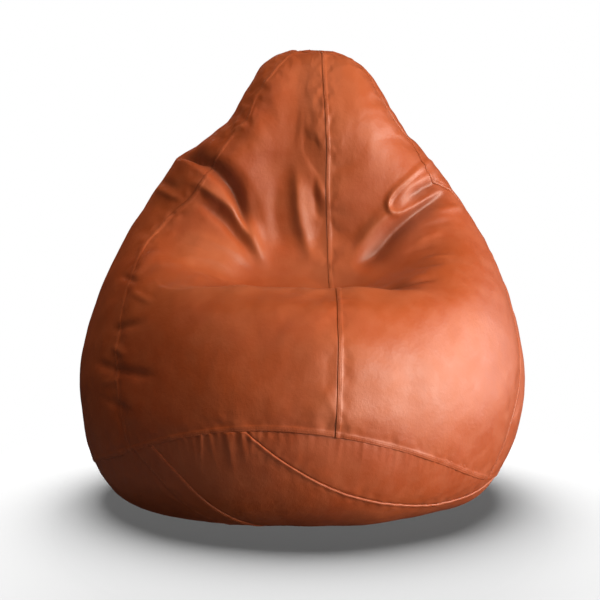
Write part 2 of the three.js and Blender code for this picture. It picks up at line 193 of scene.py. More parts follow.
# ---- folds
# A fold is a line over the front, its height (negative for a crease) and its half width to the left and to
# the right of the line in millimetres, and how pointed its section is: 2 is round, 1.05 is nearly a ridge.
# Its points are in metres: (x, z) as seen from the front, or (x, y, z).
FOLDS = [
    # left arm, from the backrest outwards: crease, roll, crease, and the arm's pillow
    ([(-.262, .654), (-.224, .657), (-.1873, .645), (-.1661, .63), (-.144, .609), (-.1295, .59),
      (-.1151, .56), (-.1064, .53), (-.0966, .502)], -25, 19, 8, 1.6),
    ([(-.262, .654), (-.236, .66), (-.212, .656), (-.187, .645)], -11, 15, 6, 1.6),
    ([(-.2258, .66), (-.1969, .6484), (-.1698, .635), (-.1505, .62), (-.1274, .6), (-.1158, .585)],
     2, 3, 3, 1.6),
    ([(-.2162, .612), (-.193, .603), (-.166, .5867), (-.139, .5647), (-.1197, .5388), (-.1043, .512),
      (-.0926, .492), (-.0772, .466), (-.0618, .4475)], 12, 15, 11, 1.9),
    ([(-.2104, .583), (-.1776, .5597), (-.1467, .5346), (-.1235, .5076), (-.1081, .4863), (-.09, .468)],
     -10, 18, 9, 1.8),
    ([(-.248, .5), (-.203, .483), (-.145, .46), (-.099, .441)], 11, 50, 50, 2),
    ([(-.2278, .5187), (-.17, .4955), (-.1197, .4704), (-.0772, .4338)], 2.5, 9, 9, 1.9),
    ([(-.238, .474), (-.18, .462), (-.13, .445)], 1.8, 8, 8, 1.9),
    ([(-.235, .495), (-.2, .485), (-.165, .47)], -1.6, 6, 6, 1.9),
    ([(-.262, .545), (-.24, .548), (-.215, .552)], -2.5, 6, 6, 1.9),
    ([(-.292, .59), (-.262, .584), (-.24, .577), (-.218, .569)], 4.5, 7, 6, 1.8),
    ([(-.285, .604), (-.255, .6), (-.228, .592)], -4.5, 9, 9, 1.9),
    ([(-.345, .44), (-.325, .442), (-.3, .434)], -4, 7, 7, 1.9),
    ([(-.135, .703), (-.122, .708), (-.106, .716)], 3.5, 6, 6, 1.9),
    ([(-.125, .742), (-.112, .73), (-.104, .722)], -5, 11, 11, 2),
    # middle of the backrest
    ([(-.108, .612), (-.107, .58), (-.102, .545), (-.093, .512), (-.086, .48)], 7, 13, 12, 2),
    ([(-.046, .633), (-.052, .563), (-.045, .508), (-.024, .461)], -3, 14, 14, 2),
    ([(-.011, .65), (-.007, .585), (-.002, .533), (.009, .488), (.022, .45)], 8.5, 14, 13, 1.9),
    ([(.022, .636), (.025, .589), (.031, .536)], -3.5, 8, 8, 2),
    # right arm: roll, crease, and the pinched pocket above them
    ([(.1953, .565), (.1753, .556), (.1563, .5458), (.1332, .5207), (.1119, .4956), (.0926, .4725)],
     7, 8, 15, 1.9),
    ([(.2829, .5903), (.2663, .5803), (.2477, .5704), (.2277, .5603), (.2057, .5464), (.1834, .5298),
      (.1641, .5134), (.1478, .4941), (.1312, .4775), (.1146, .4609), (.0953, .4445)], -11, 17, 10, 1.8),
    ([(.2663, .5783), (.2277, .5583), (.2057, .5444), (.1834, .5278), (.1641, .5114), (.1478, .4921),
      (.1312, .4755), (.1146, .4589), (.0953, .4425)], -9, 46, 12, 1.6),
    ([(.27, .645), (.2277, .6367), (.2001, .6129), (.1794, .598), (.163, .5786), (.159, .5612),
      (.1697, .548), (.1834, .548), (.2057, .5607), (.2277, .5717), (.2497, .5842), (.2719, .591)],
     6.5, 4.5, 5, 1.8),
    ([(.262, .6225), (.24, .6185), (.218, .61), (.1971, .598), (.1834, .581), (.1756, .5663)],
     3.5, 3, 4, 1.9),
    ([(.268, .61), (.2404, .6021), (.215, .59), (.1956, .572), (.187, .562)], -12, 22, 6, 1.7),
    ([(.235, .557), (.272, .558), (.307, .553)], 2.5, 7, 7, 2),
    ([(.212, .521), (.253, .533), (.295, .535)], -2.5, 7, 7, 2),
    ([(.202, .494), (.241, .512), (.275, .521)], 2.5, 7, 7, 2),
    ([(.187, .478), (.221, .489), (.252, .497)], -2.5, 7, 7, 2),
    ([(.218, .467), (.256, .476), (.291, .477)], 2.5, 7, 7, 2),
    ([(.192, .452), (.227, .461), (.266, .465)], -2.5, 7, 7, 2),
    ([(.123, .433), (.16, .438), (.203, .444), (.257, .445)], -7, 9, 9, 1.8),
    # the seat's lip with its fuller middle and left edge, and the hollow just behind it
    ([(-.25, -.258, .45), (-.17, -.274, .44), (-.08, -.28, .433), (.02, -.28, .43), (.12, -.277, .434),
      (.21, -.268, .44), (.27, -.253, .45)], 5, 15, 22, 1.8),
    ([(-.15, -.272, .437), (-.07, -.279, .433), (.01, -.281, .431), (.09, -.279, .432), (.16, -.273, .436)],
     7, 32, 32, 2),
    ([(-.262, -.205, .487), (-.25, -.232, .466), (-.225, -.255, .447), (-.184, -.27, .436),
      (-.126, -.276, .43), (-.07, -.279, .431)], 6, 16, 32, 1.7),
    ([(-.2, -.215, .425), (-.12, -.222, .42), (-.03, -.225, .418), (.06, -.225, .418), (.15, -.22, .42),
      (.22, -.21, .425)], -13, 40, 40, 2),
]


def seam_line(gore, low, high):
    """A line along a seam, between two stations."""
    t = np.linspace(low, high, 12)
    return [tuple(p) for p in shape_point(seam_azimuth(gore, t), t)]


# The middle seam is pulled into a low edge over the belly and up the neck.
FOLDS += [(seam_line(0, .33, .455), 12, 60, 60, 1.05), (seam_line(0, .6, .95), 9, 50, 50, 1.05),
    (seam_line(0, .77, .97), 6, 45, 45, 1.05)]


def level_line(station, low, high, tilt):
    """A nearly level line, between two azimuths."""
    azimuth = np.linspace(low, high, 12)
    return [tuple(p) for p in shape_point(azimuth, station + tilt * (azimuth - low))]


# Short puckers across the left side seam, below the arm.
FOLDS += [(level_line(.487, -55, -43, -.0011), 3, 6, 6, 2),
    (level_line(.44, -62, -43, .0006), -4.5, 9, 9, 2),
    (level_line(.424, -58, -48, -.0008), 3.5, 7, 7, 2),
    (level_line(.405, -66, -36, -.0004), -4.5, 9, 9, 2),
    (level_line(.38, -60, -50, .001), 2, 6, 6, 2),
    (level_line(.366, -62, -42, -.0007), -2.5, 8, 8, 2)]
FOLD_STATION = .47          # lines given as (x, z) lie above this station, behind the seat's lip
FOLD_SPACING, FOLD_PASSES, FOLD_TAPER = .004, 24, .06


def spline(points):
    """A smooth line through points, resampled to an even spacing."""
    p = np.asarray(points, float)
    k = np.linspace(0, 1, max(int(len(p) * 30), 2))
    q = np.stack(along(p, k), -1)
    run = run_of(q)
    s = np.linspace(0, run[-1], max(int(run[-1] / FOLD_SPACING), 3))
    return np.stack([np.interp(s, run, q[:, i]) for i in range(q.shape[1])], -1)


FRONT_GRID = np.meshgrid(np.linspace(-110, 110, 441), np.linspace(FOLD_STATION, .98, 360), indexing="ij")
FRONT_P, FRONT_N = shape_point(*FRONT_GRID), shape_normal(*FRONT_GRID)


def on_front(x, z):
    """The point on the front of the bag that is seen at (x, z) in the front elevation, and its normal."""
    d = (FRONT_P[..., 0] - x) ** 2 + (FRONT_P[..., 2] - z) ** 2 + 1e-3 * np.maximum(FRONT_N[..., 1], 0)
    i = np.unravel_index(np.argmin(d), d.shape)
    return FRONT_P[i], FRONT_N[i]


def lay_fold(line, height, left, right, pointed):
    """A fold's line on the surface, with the direction to its left at each point and its length so far."""
    if len(line[0]) == 2:
        found = [on_front(x, z) for x, z in spline(line)]
        p = np.array([f[0] for f in found])
        n = np.array([f[1] for f in found])
    else:
        p = spline(line)
        n = np.tile((0., 0., 1.), (len(p), 1))
    for _ in range(FOLD_PASSES):
        p[1:-1] = (p[:-2] + 2 * p[1:-1] + p[2:]) / 4
        n[1:-1] = (n[:-2] + 2 * n[1:-1] + n[2:]) / 4
    tangent = unit(np.gradient(p, axis=0))
    return p, tangent, unit(np.cross(n, tangent)), run_of(p), height * MM, left * MM, right * MM, pointed


LAID = [lay_fold(*fold) for fold in FOLDS]


def fold_height(points):
    """The height that the folds add at each point."""
    flat = points.reshape(-1, 3)
    total = np.zeros(len(flat))
    for p, tangent, side, run, height, left, right, pointed in LAID:
        reach = 2.6 * max(left, right)
        near = np.flatnonzero(np.all((flat > p.min(0) - reach) & (flat < p.max(0) + reach), axis=1))
        if not len(near):
            continue
        q = flat[near]
        i = ((q[:, None] - p[None]) ** 2).sum(-1).argmin(1)
        away = q - p[i]
        step = (away * tangent[i]).sum(-1)
        inner = (i > 0) & (i < len(p) - 1)
        step = np.where(inner, step, np.where(i == 0, np.maximum(step, 0), np.minimum(step, 0)))
        d = np.linalg.norm(away - tangent[i] * step[:, None], axis=1)
        place = run[i] + step
        sign = (away * side[i]).sum(-1)
        width = left + (right - left) * smoothstep(-sign, -.003, .003)
        end = min(FOLD_TAPER, run[-1] * .4)
        taper = smoothstep(place, -.004, end) * smoothstep(run[-1] - place, -.004, end)
        profile = np.exp(-abs(d / width) ** pointed) * (1 - smoothstep(d / width, 1.6, 2.5))
        total[near] += height * taper * profile
    return total.reshape(points.shape[:-1])


# ---- smooth noise on the surface
def waves(points, wavelength, seed, count=14):
    """A smooth random field of the given wavelength, about -1 to 1: a sum of plane waves."""
    r = np.random.default_rng(seed)
    total = np.zeros(points.shape[:-1])
    for _ in range(count):
        way = r.normal(size=3)
        way *= 2 * pi / (wavelength * r.uniform(.75, 1.4)) / np.linalg.norm(way)
        total += np.sin(points @ way + r.uniform(0, 2 * pi))
    return total / np.sqrt(count / 2) / 1.6


# ---- seams between gores
# Sections across a seam, in millimetres: (distance, height). The band is the turned-under edge on its right
# with two sunken rows of stitches; the roll is the plain edge on its left.
BAND = np.array([[0, -.9], [.3, 0], [.8, .85], [1.6, 1.15], [2.2, 1.2], [2.8, .9], [3.4, 1.25], [4.4, 1.3],
    [5.4, 1.2], [6, .85], [6.6, 1.1], [7.5, .8], [8.5, .2], [10.5, 0], [14, 0], [400, 0]]) * MM
ROLL = np.array([[0, -1.1], [.3, -.6], [.8, -.25], [1.6, -.05], [2.8, 0], [4.5, 0], [7, 0], [10, 0],
    [14, 0], [400, 0]]) * MM
BAND_STEPS, ROLL_STEPS = BAND[:-1, 0], ROLL[:-1, 0]
STITCH_COLUMNS = (5, 9)     # the two sunken rows of the band


def section(table, d):
    return np.interp(d, table[:, 0], table[:, 1])


GORE_LENGTH = .95
ROWS = np.concatenate([BAND_STEPS / GORE_LENGTH,
    np.linspace(14.5 * MM / GORE_LENGTH, 1 - 8 * MM / GORE_LENGTH, 288)[1:],
    1 - np.array([6, 4.5, 3, 1.6, .8, .3, 0]) * MM / GORE_LENGTH])


def gore_grid(gore, count):
    """azimuth and t for a gore's grid, and the distances to its left seam, right seam, ring and crown."""
    v = ROWS[:, None]

    def t_at(u):
        ring = ring_station(column_azimuth(gore, u, np.full_like(u, .4)))
        return ring + (CROWN_STATION - ring) * v

    # the width of each row, from its seams' places
    samples = np.linspace(0, 1, 25)[None] + 0 * v
    t = t_at(samples)
    p = shape_point(column_azimuth(gore, samples, t), t)
    width = np.linalg.norm(np.diff(p, axis=1), axis=2).sum(1)[:, None]
    left, right = BAND_STEPS[None] / width, 1 - ROLL_STEPS[None, ::-1] / width
    middle = np.linspace(0, 1, count + 2)[1:-1]
    u = np.concatenate([left, left[:, -1:] + (right[:, :1] - left[:, -1:]) * middle[None], right], axis=1)
    t = t_at(u)
    az = column_azimuth(gore, u, t)
    return az, t, u * width, (1 - u) * width, v * GORE_LENGTH + 0 * u, (1 - v) * GORE_LENGTH + 0 * u


def seam_height(from_left, from_right, from_ring):
    """The sections of the seams round a gore."""
    ring = section(BAND, from_ring) * smoothstep(from_left, 0, .002) * smoothstep(from_right, 0, .002)
    return section(BAND, from_left) + section(ROLL, from_right) + ring


def pucker_height(from_left, from_right, from_ring, points):
    """The small puckers beside the seams, and the shallow valley that they lie in."""
    fine = waves(points, .018, 11) * .9 + waves(points, .032, 12) * .9
    beside = (bump(from_left, .011, .012) + bump(from_right, .009, .012)
              + .8 * bump(from_ring, .012, .012))
    wide = waves(points, .06, 13)
    valley = bump(from_left, 0, .035) + bump(from_right, 0, .035)
    return MM * (.55 * fine * beside - (.6 + .6 * wide) * valley)


def undulation(points):
    """The filling's soft unevenness under the fabric."""
    broad, mid, fine = waves(points, .16, 21), waves(points, .07, 22), waves(points, .028, 23, 20)
    return MM * (1.3 * broad + .55 * mid + .16 * fine)


# ---- mesh helpers
def mesh_object(name, points, faces, **attributes):
    mesh = bpy.data.meshes.new(name)
    mesh.from_pydata(np.reshape(points, (-1, 3)), [], faces)
    mesh.update()
    for key, values in attributes.items():
        layer = mesh.attributes.new(key, "FLOAT", "POINT")
        layer.data.foreach_set("value", np.ravel(values).astype(np.float32))
    mesh.shade_smooth()
    piece = bpy.data.objects.new(name, mesh)
    scene.collection.objects.link(piece)
    return piece


def grid_faces(rows, columns, closed=False):
    wrap = columns if closed else columns - 1
    j, i = np.meshgrid(np.arange(rows - 1), np.arange(wrap), indexing="ij")
    a = j * columns + i
    b = j * columns + (i + 1) % columns
    return np.stack([a, b, b + columns, a + columns], -1).reshape(-1, 4).tolist()


def finish_piece(piece, material, stands_for=None, thickness=None):
    """Gives a piece its material, body and fabric's thickness, and hides the CAD node that it stands for."""
    if thickness:
        fabric = piece.modifiers.new("thickness", "SOLIDIFY")
        fabric.thickness, fabric.offset = thickness, -1
    piece.data.materials.clear()
    piece.data.materials.append(material)
    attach(piece, "bag")
    if stands_for:
        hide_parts(stands_for)
    piece.visible_diffuse = False


# ---- materials
def nodes_of(material):
    material.use_nodes = True
    tree = material.node_tree
    tree.nodes.clear()
    out = tree.nodes.new("ShaderNodeOutputMaterial")
    shader = tree.nodes.new("ShaderNodeBsdfPrincipled")
    tree.links.new(shader.outputs[0], out.inputs[0])
    return tree, shader


def feed(tree, n, inputs):
    """Links each input of a shader node to the socket that is given for it, or else sets it."""
    for key, value in inputs.items():
        if isinstance(value, bpy.types.NodeSocket):
            tree.links.new(value, n.inputs[key])
        else:
            n.inputs[key].default_value = value


def node(tree, kind, inputs=None, **settings):
    n = tree.nodes.new("ShaderNode" + kind)
    for key, value in settings.items():
        setattr(n, key, value)
    feed(tree, n, inputs or {})
    return n


def srgb(r, g, b):
    """A screen colour, 0 to 255, for a shader socket."""
    shares = (c / 255 for c in (r, g, b))
    return tuple(c / 12.92 if c <= .04045 else ((c + .055) / 1.055) ** 2.4 for c in shares) + (1,)


def mix_colour(tree, factor, a, b):
    return node(tree, "Mix", {0: factor, 6: a, 7: b}, data_type="RGBA").outputs[2]


def ramp(tree, source, low, high, a=0, b=1):
    return node(tree, "MapRange", {0: source, 1: low, 2: high, 3: a, 4: b}).outputs[0]


def noise(tree, where, scale, detail):
    return node(tree, "TexNoise", {"Vector": where, "Scale": scale, "Detail": detail}).outputs[0]


def leatherette(name, base, pale_tone_and_highlight, dark, rough):
    """Faux leather: pebble grain, patches of other sheen, paler rolls (painted highlight), darker creases
    (painted shade).
    """
    material = bpy.data.materials.new(name)
    tree, shader = nodes_of(material)
    where = node(tree, "TexCoord").outputs["Object"]
    grains = {"Vector": where, "Scale": 620, "Randomness": 1}
    cells = node(tree, "TexVoronoi", grains, feature="F1").outputs[0]
    broad, patches = noise(tree, where, 5, 3), noise(tree, where, 34, 4)
    mid = noise(tree, where, 150, 2)
    wear = node(tree, "Attribute", attribute_name="wear").outputs["Fac"]
    crease = node(tree, "Attribute", attribute_name="crease").outputs["Fac"]
    colour = mix_colour(tree, ramp(tree, broad, .35, .65), base, dark)
    colour = mix_colour(tree, ramp(tree, patches, .4, .75, 0, .2), colour, pale_tone_and_highlight)
    colour = mix_colour(tree, ramp(tree, cells, .0, .7, .16, 0), colour, dark)
    # painted highlight: the colour is made paler on the fold ridges, where light would catch them
    colour = mix_colour(tree, ramp(tree, wear, 0, 1, 0, .5), colour, pale_tone_and_highlight)
    # painted shade: the colour is darkened towards a brown in the creases, where shade would fall
    colour = mix_colour(tree, ramp(tree, crease, 0, 1, 0, .7), colour, srgb(126, 62, 38))
    grain = node(tree, "Bump", {"Height": cells, "Strength": .3, "Distance": .0004}).outputs[0]
    peel = node(tree, "Bump", {"Height": mid, "Strength": .35, "Distance": .0012, "Normal": grain}).outputs[0]
    sheen = ramp(tree, patches, .3, .7, rough - .05, rough + .07)
    feed(tree, shader, {"Base Color": colour, "Roughness": sheen, "Specular IOR Level": 1,
                        "Specular Tint": (1, .95, .8, 1), "Normal": peel})
    return material


LEATHER = leatherette("leatherette_orange", srgb(203, 92, 42), srgb(222, 124, 76), srgb(192, 82, 36), .52)
LEATHER_FOLD = leatherette("leatherette_fold", srgb(192, 80, 33), srgb(214, 112, 64), srgb(172, 68, 27), .48)


def simple(name, base, dark, rough, scale, metal=0, strength=.2, distance=.0003):
    """A material with one fine noise in its colour, sheen and bumps."""
    material = bpy.data.materials.new(name)
    tree, shader = nodes_of(material)
    where = node(tree, "TexCoord").outputs["Object"]
    grain = noise(tree, where, scale, 4)
    colour = mix_colour(tree, ramp(tree, grain, .35, .65), base, dark)
    sheen = ramp(tree, grain, .3, .7, rough - .06, rough + .08)
    bumps = node(tree, "Bump", {"Height": grain, "Strength": strength, "Distance": distance}).outputs[0]
    feed(tree, shader, {"Base Color": colour, "Roughness": sheen, "Metallic": metal, "Normal": bumps})
    return material


THREAD = simple("thread", srgb(214, 116, 70), srgb(186, 88, 48), .7, 900)
LINER = simple("liner_cloth", srgb(226, 221, 210), srgb(206, 200, 188), .9, 700)
BEADS = simple("beads", srgb(244, 244, 240), srgb(224, 224, 220), .7, 300, strength=.8, distance=.001)
ZIP_MATERIALS = {
    "leatherette_fold": LEATHER_FOLD,
    "zip_tape": simple("zip_tape", srgb(142, 70, 40), srgb(112, 52, 28), .85, 1400),
    "zip_coil": simple("zip_coil", srgb(122, 58, 32), srgb(96, 44, 24), .45, 500),
    "zip_metal": simple("zip_metal", srgb(196, 168, 118), srgb(160, 134, 92), .36, 260, metal=.6),
    "liner_tape": simple("liner_tape", srgb(214, 209, 200), srgb(190, 184, 174), .85, 1400),
    "liner_coil": simple("liner_coil", srgb(206, 202, 194), srgb(184, 180, 170), .45, 500),
    "liner_metal": simple("liner_metal", srgb(178, 180, 182), srgb(140, 142, 146), .34, 260, metal=1),
}


# ---- the gores
GORES = {"front_right": 120, "side_right": 84, "back_right": 70, "back_left": 70, "side_left": 84,
         "front_left": 120}             # the columns between each gore's seams
CLOTH_COLUMNS, CLOTH_ROWS = [40, 28, 24, 24, 28, 40], 88
CLOTH_FRAMES, EVEN_PASSES = 20, 60
CLOTH_CAP = .0045           # the cloth's relief goes no further than this
SOFT_FLOOR = -.0028         # softer hollows below this


def blown_up():
    """The cover as one cloth, held at its seams and blown up by the filling. Returns how far each gore's grid
    moved outwards from an even bulge: the pulls that the sewing leaves."""
    u = np.concatenate([g + np.arange(n) / n for g, n in enumerate(CLOTH_COLUMNS)])
    gore, part = np.floor(u).astype(int), u % 1
    azimuth = np.empty((CLOTH_ROWS, len(u)))
    t = np.empty_like(azimuth)
    for c in range(len(u)):
        ring = ring_station(column_azimuth(gore[c], part[c], np.array(.4)))
        t[:, c] = ring + (CROWN_STATION - ring) * np.linspace(0, 1, CLOTH_ROWS)
        azimuth[:, c] = column_azimuth(gore[c], part[c], t[:, c])
    p, n = shape_point(azimuth, t), shape_normal(azimuth, t)
    start = p + n * (MM * (.9 * waves(p, .05, 51) + .5 * waves(p, .024, 52)))[..., None]
    piece = mesh_object("cloth", start, grid_faces(*azimuth.shape, closed=True))
    held = np.zeros(azimuth.shape, bool)
    held[:, part == 0] = held[0] = held[-1] = True
    pins = piece.vertex_groups.new(name="held")
    pins.add(np.flatnonzero(held.ravel()).tolist(), 1., "REPLACE")
    cloth = piece.modifiers.new("cloth", "CLOTH").settings
    cloth.quality, cloth.mass = 6, .35
    cloth.tension_stiffness = cloth.compression_stiffness = 30
    cloth.shear_stiffness, cloth.bending_stiffness = 12, 1.2
    cloth.use_pressure, cloth.uniform_pressure_force = True, 4
    cloth.shrink_min = -.022
    cloth.vertex_group_mass = "held"
    cloth.effector_weights.gravity = 0
    for frame_number in range(1, CLOTH_FRAMES + 1):
        scene.frame_set(frame_number)
    blown = np.empty(p.size, np.float32)
    piece.evaluated_get(bpy.context.evaluated_depsgraph_get()).data.vertices.foreach_get("co", blown)
    scene.frame_set(1)
    bpy.data.objects.remove(piece)
    out = ((blown.reshape(p.shape) - p) * n).sum(-1)
    even = out.copy()
    for _ in range(EVEN_PASSES):
        even = (np.roll(even, 1, 1) + 2 * even + np.roll(even, -1, 1)) / 4
        even[1:-1] = (even[:-2] + 2 * even[1:-1] + even[2:]) / 4
    out = CLOTH_CAP * np.tanh((out - .9 * even) / CLOTH_CAP)
    ends = np.cumsum([0] + CLOTH_COLUMNS)
    around = np.concatenate([out, out[:, :1]], axis=1)
    return [around[:, a:b + 1] for a, b in zip(ends, ends[1:])]


def spline_weights(values, size):
    """The four places that each value lies between on an axis of this size, and their B-spline weights."""
    k = np.clip(np.floor(values).astype(int), 0, size - 2)
    f = values - k
    weights = ((1 - f)**3 / 6, (3 * f**3 - 6 * f**2 + 4) / 6,
               (-3 * f**3 + 3 * f**2 + 3 * f + 1) / 6, f**3 / 6)
    return [(np.clip(k + d, 0, size - 1), weight) for d, weight in zip((-1, 0, 1, 2), weights)]


def smooth_sample(grid, row, column):
    """A cubic B-spline through a grid of values, at fractional rows and columns."""
    rows, columns = spline_weights(row, grid.shape[0]), spline_weights(column, grid.shape[1])
    return sum(a * b * grid[r, c] for r, a in rows for c, b in columns)


RELIEF = blown_up()
STITCH_LINES = {}       # piece name: [(points, normals)], filled in as the pieces are made


def make_gores():
    for gore, (name, count) in enumerate(GORES.items()):
        az, t, left, right, ring, crown = gore_grid(gore, count)
        p, n = shape_point(az, t), shape_normal(az, t)
        soft = undulation(p) + pucker_height(left, right, ring, p)
        if RELIEF:
            # full relief beside the side seams, less beside the ring, and a quarter of it elsewhere
            grid = RELIEF[gore]
            row = ring / (ring + crown) * (grid.shape[0] - 1)
            column = left / (left + right) * (grid.shape[1] - 1)
            beside = np.maximum(bump(np.minimum(left, right), 0, .055), .3 * bump(ring, 0, .055))
            soft = soft + (.25 + .75 * beside) * smooth_sample(grid, row, column)
        folds = fold_height(p)
        soft = folds + np.where(soft < SOFT_FLOOR, SOFT_FLOOR + .25 * (soft - SOFT_FLOOR), soft)
        hard = seam_height(left, right, ring) - .0015 * bump(crown, 0, .002)
        p = p + n * (soft + hard)[..., None]
        # from the fold heights: a mask for the painted highlight on the ridges and one for the painted shade
        # in the creases
        wear, crease = np.clip(folds / .008, 0, 1) * .6, np.clip(-folds / .012, 0, 1) * .7
        out = unit(np.cross(np.gradient(p, axis=1), np.gradient(p, axis=0)))
        for k in STITCH_COLUMNS:
            STITCH_LINES.setdefault(f"stitches_seam_{gore}", []).append((p[k + 4:-8, k], out[k + 4:-8, k]))
            STITCH_LINES.setdefault("stitches_ring", []).append((p[k, 12:-6], out[k, 12:-6]))
        piece = mesh_object(f"gore_{name}_cover", p, grid_faces(*az.shape), wear=wear, crease=crease)
        finish_piece(piece, LEATHER, "gore_" + name, COVER)


make_gores()


def make_crown():
    """The small cap over the gores' ends."""
    az, v = np.meshgrid(np.linspace(0, 360, 121)[:-1], np.linspace(0, 1, 24))
    t = CROWN_STATION + (1 - CROWN_STATION) * v
    p, n = shape_point(az, t), shape_normal(az, t)
    n[-1] = (0, 0, 1)
    edge = np.linalg.norm(p - p[0], axis=-1)
    lift = section(ROLL, edge) + MM * (.5 * waves(p, .02, 31) - 1.2 * bump(edge, 0, .014))
    p = p + n * lift[..., None]
    p[-1] = p[-1].mean(0)
    piece = mesh_object("crown_patch_cover", p, grid_faces(*az.shape, closed=True))
    merge(piece)
    finish_piece(piece, LEATHER, "crown_patch", COVER)


def merge(piece):
    """Joins the points that meet at a pole."""
    b = bmesh.new()
    b.from_mesh(piece.data)
    bmesh.ops.remove_doubles(b, verts=b.verts, dist=1e-5)
    bmesh.ops.dissolve_degenerate(b, edges=b.edges, dist=1e-6)
    b.to_mesh(piece.data)
    b.free()


make_crown()

# ---- the base
# Its two seams lie in planes that lean as they climb: the zip's through the middle, the lens's beside it.
ZIP_ANGLE, ZIP_CLIMB = 66, 1.
LENS_ANGLE, LENS_OFFSET, LENS_CLIMB = 49, .425, 1.02
PLACKET_WIDTH, PLACKET_FRONT, PLACKET_REAR = .046, .43, .235
SLOT_HALF_WIDTH, SLOT_HALF_LENGTH = .007, .215
ZIP_WAY = np.array([cos(radians(ZIP_ANGLE)), sin(radians(ZIP_ANGLE)), 0])
ZIP_SIDE = np.array([-ZIP_WAY[1], ZIP_WAY[0], 0])


def seam_plane(angle, offset, climb):
    """A base seam's plane: its unit normal, which points to the seam's right, and its distance."""
    way = np.array([sin(radians(angle)), -cos(radians(angle)), climb])
    size = np.linalg.norm(way)
    return way / size, offset / size


ZIP_PLANE = seam_plane(ZIP_ANGLE, 0, ZIP_CLIMB)
LENS_PLANE = seam_plane(LENS_ANGLE, LENS_OFFSET, LENS_CLIMB)


def beyond(points, plane):
    return points @ plane[0] - plane[1]


def base_grid():
    """azimuth and t for the base's grid, and each point's distance to the ring."""
    azimuth = np.concatenate([np.linspace(-78, 72, 330), np.linspace(72, 282, 190)[1:-1]])
    low = FLAT_STATION
    ring = ring_station(azimuth)
    length = .235 + .125 * (ring - RING_STATION) / RING_RISE
    rows = [low * f + 0 * azimuth for f in (0, .12, .3, .5, .7, .85)]
    rows += [low + (ring - low) * f for f in np.linspace(0, 1, 84)[:-1] * (1 - .016 / .235)]
    rows += [ring - (ring - low) * s / length for s in ROLL_STEPS[::-1]]
    t = np.array(rows)
    return azimuth[None] + 0 * t, t, (ring[None] - t) / np.maximum(ring - low, 1e-6) * length


def gathers(azimuth, from_ring):
    """Small upright folds that hang from the ring seam, strongest at the front left."""
    r = np.random.default_rng(41)
    turned = (azimuth + 180) % 360 - 180
    total = np.zeros(azimuth.shape)
    at = -180.
    while at < 180:
        at += r.uniform(1.4, 2.6)
        strength = .45 + 2.3 * bump(at, -20, 9) + .9 * bump(at, 30, 26)
        size, wide, drop = r.uniform(.6, 1.5) * strength, r.uniform(.45, .75), r.uniform(.018, .045)
        line = at + r.uniform(-25, 25) * from_ring
        total += size * bump(turned, line, wide) * np.exp(-(from_ring / drop) ** 1.5)
    return MM * (total - .5)


# Sections across the base's own seams, in millimetres. The placket lies between 0 and 46 beside the zip.
LENS_RIDGE = np.array([[-400, 0], [-14, 0], [-9, .1], [-6.5, .5], [-4.5, 1], [-2.6, 1.5], [-1.4, 1.5],
    [-.6, .8], [0, -1.9], [.6, -1.3], [1.4, -.8], [2.6, -.4], [4.5, -.1], [7, 0],
    [400, 0]]) * MM
ZIP_RIDGE = np.array([[-400, 0], [-14, 0], [-9, 0], [-6.5, -.05], [-4.5, -.2], [-2.6, -.45], [-1.4, -.8],
    [-.6, -1.3], [0, -2], [.6, .4], [1.4, 1.2], [2.6, 1.5], [4.5, 1.5], [7, 1.5],
    [10, 1.4], [40, 1.4], [43, 1.5], [44.5, 1.2], [45.4, .5], [46, -1.2], [46.6, -.6],
    [47.6, -.2], [50, 0], [400, 0]]) * MM
ZIP_CUTS, LENS_CUTS = np.concatenate([ZIP_RIDGE[2:14, 0], ZIP_RIDGE[16:22, 0]]), LENS_RIDGE[2:13, 0]


def base_height(p, azimuth, from_ring):
    """How far the base's face stands out from the plain bowl."""
    zip_d, lens_d = beyond(p, ZIP_PLANE), beyond(p, LENS_PLANE)
    along_zip = p @ ZIP_WAY
    placket = (smoothstep(along_zip, -PLACKET_FRONT - .001, -PLACKET_FRONT + .001)
               * smoothstep(-along_zip, -PLACKET_REAR - .001, -PLACKET_REAR + .001))
    ridge = section(ZIP_RIDGE, zip_d)
    plain = section(BAND, zip_d) * (zip_d > 0) + section(ROLL, -zip_d) * (zip_d <= 0)
    right = smoothstep(zip_d, 0, .003)
    h = ridge * placket + plain * (1 - placket) + section(LENS_RIDGE, lens_d) * right
    h += section(ROLL, from_ring) + gathers(azimuth, from_ring)
    beside = bump(abs(zip_d), .012, .014) + bump(abs(lens_d), .01, .014) * right
    return h + (MM * .6 * waves(p, .022, 42) * beside + undulation(p))


